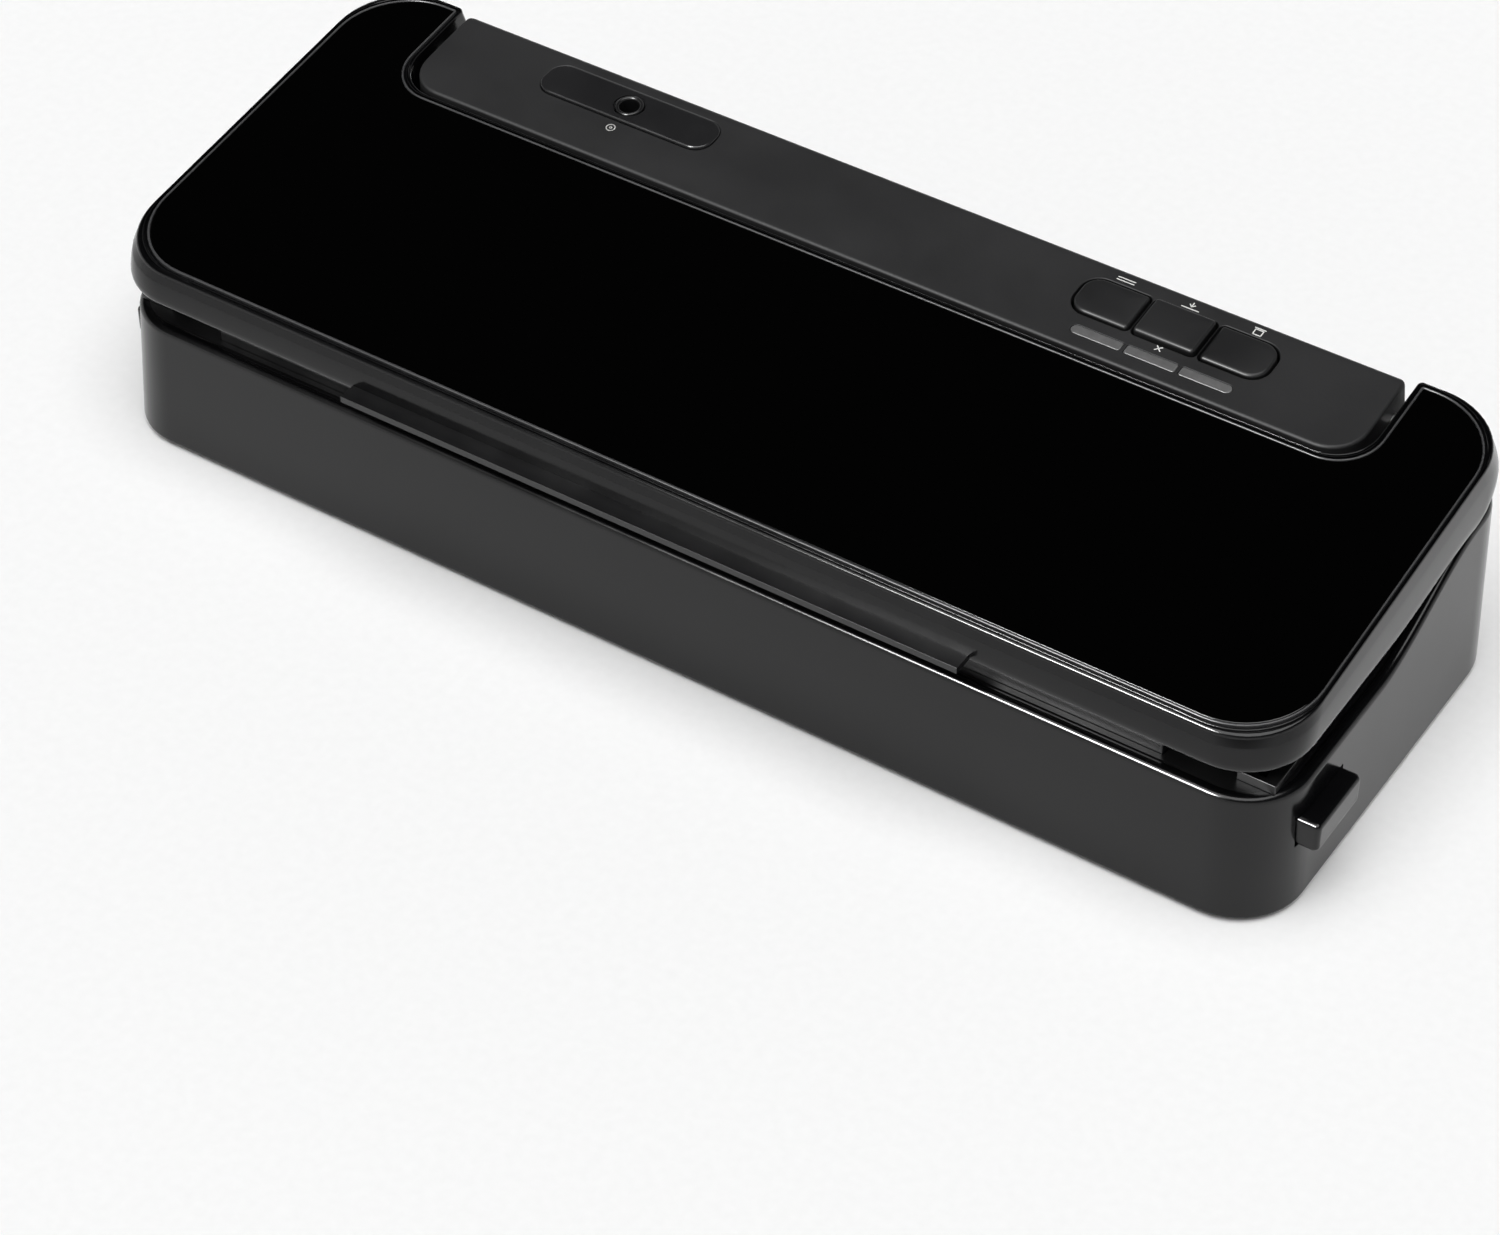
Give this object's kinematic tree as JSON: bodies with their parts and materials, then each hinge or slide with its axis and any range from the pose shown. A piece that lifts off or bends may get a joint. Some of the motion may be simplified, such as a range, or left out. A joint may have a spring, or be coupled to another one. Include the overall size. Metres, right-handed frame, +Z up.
{
  "type": "vacuum sealer",
  "caption": "Countertop vacuum sealer: hinged lid with a black glass panel, sealing deck, and a fixed rear console with buttons and an accessory port.",
  "frame": {"origin": "centre of the bounding box in X and Y, at the underside of the feet", "axes": "+X along the long side to the right as seen from the front, +Y towards the hinge and console, +Z up"},
  "size_m": [0.3876, 0.1438, 0.0804],
  "materials": {
    "base_abs": "satin moulded black ABS",
    "cover_abs": "matte moulded black ABS",
    "foot_rubber": "matte black rubber",
    "screw_steel": "zinc-plated steel",
    "inner_abs": "smooth moulded black ABS",
    "foam": "closed-cell foam with a fine skin",
    "silicone": "moulded silicone",
    "strip_alloy": "rolled resistance alloy",
    "ptfe": "PTFE-coated glass cloth tape",
    "terminal_brass": "pressed brass",
    "console_abs": "finely textured black ABS",
    "port_plastic": "moulded black acetal",
    "window_plastic": "smoked translucent polycarbonate",
    "board": "solder-masked glass-epoxy board",
    "switch_plastic": "moulded switch body",
    "led": "cast epoxy",
    "motor_steel": "plated steel",
    "pump_plastic": "glass-filled nylon",
    "hose": "extruded silicone tube",
    "lid_abs": "gloss moulded black ABS",
    "frame_abs": "satin moulded black ABS",
    "glass": "polished black back-painted glass",
    "spring_steel": "drawn spring steel wire"
  },
  "bodies": {
    "base": {"base_shell": "base_abs", "deck_panel": "inner_abs", "bottom_cover": "cover_abs", "feet": "foot_rubber", "bottom_screws": "screw_steel", "vacuum_channel": "inner_abs", "lower_gasket": "foam", "seal_bar": "inner_abs", "heating_strip": "strip_alloy", "ptfe_tape": "ptfe", "heater_terminals": "terminal_brass", "latch_guides": "inner_abs", "lid_switch": "inner_abs", "console_housing": "console_abs", "port_pad": "console_abs", "port_bush": "port_plastic", "indicator_windows": "window_plastic", "control_board": "board", "tact_switches": "switch_plastic", "indicator_leds": "led", "pump_motor": "motor_steel", "pump_head": "pump_plastic", "pump_bracket": "motor_steel", "pump_mounts": "foot_rubber", "port_hose": "hose", "channel_hose": "hose", "pressure_switch": "switch_plastic", "transformer": "motor_steel", "cord_gland": "foot_rubber", "hinge_pins": "screw_steel", "release_spring_left": "spring_steel", "release_spring_right": "spring_steel"},
    "lid": {"lid_cover": "lid_abs", "glass_frame": "frame_abs", "glass_panel": "glass", "lid_liner": "inner_abs", "upper_gasket": "foam", "pressure_strip": "silicone", "latch_hooks": "inner_abs", "lid_screws": "screw_steel"},
    "button_seal": {"button_seal": "console_abs"},
    "button_vacuum": {"button_vacuum": "console_abs"},
    "button_canister": {"button_canister": "console_abs"},
    "release_left": {"release_left": "inner_abs"},
    "release_right": {"release_right": "inner_abs"},
    "pump_shaft": {"pump_eccentric": "motor_steel"}
  },
  "joints": [
    {"name": "lid_hinge", "type": "hinge", "parent": "base", "child": "lid", "pos_m": [0, 0.0604, 0.06959], "axis": [-1, 0, 0], "range_deg": [0, 75]},
    {"name": "button_seal_press", "type": "slide", "parent": "base", "child": "button_seal", "axis": [0, 0.1201, -0.9928], "range_m": [0, 0.0008], "stiffness_N_per_m": 600, "springref_m": -0.0005},
    {"name": "button_vacuum_press", "type": "slide", "parent": "base", "child": "button_vacuum", "axis": [0, 0.1201, -0.9928], "range_m": [0, 0.0008], "stiffness_N_per_m": 600, "springref_m": -0.0005},
    {"name": "button_canister_press", "type": "slide", "parent": "base", "child": "button_canister", "axis": [0, 0.1201, -0.9928], "range_m": [0, 0.0008], "stiffness_N_per_m": 600, "springref_m": -0.0005},
    {"name": "release_left_press", "type": "slide", "parent": "base", "child": "release_left", "axis": [1, 0, 0], "range_m": [0, 0.0025], "stiffness_N_per_m": 800, "springref_m": -0.001, "deforming": ["release_spring_left"]},
    {"name": "release_right_press", "type": "slide", "parent": "base", "child": "release_right", "axis": [-1, 0, 0], "range_m": [0, 0.0025], "stiffness_N_per_m": 800, "springref_m": -0.001, "deforming": ["release_spring_right"]},
    {"name": "pump_shaft_spin", "type": "hinge", "parent": "base", "child": "pump_shaft", "pos_m": [-0.0723, 0.05445, 0.025], "axis": [1, 0, 0], "continuous": true}
  ]
}
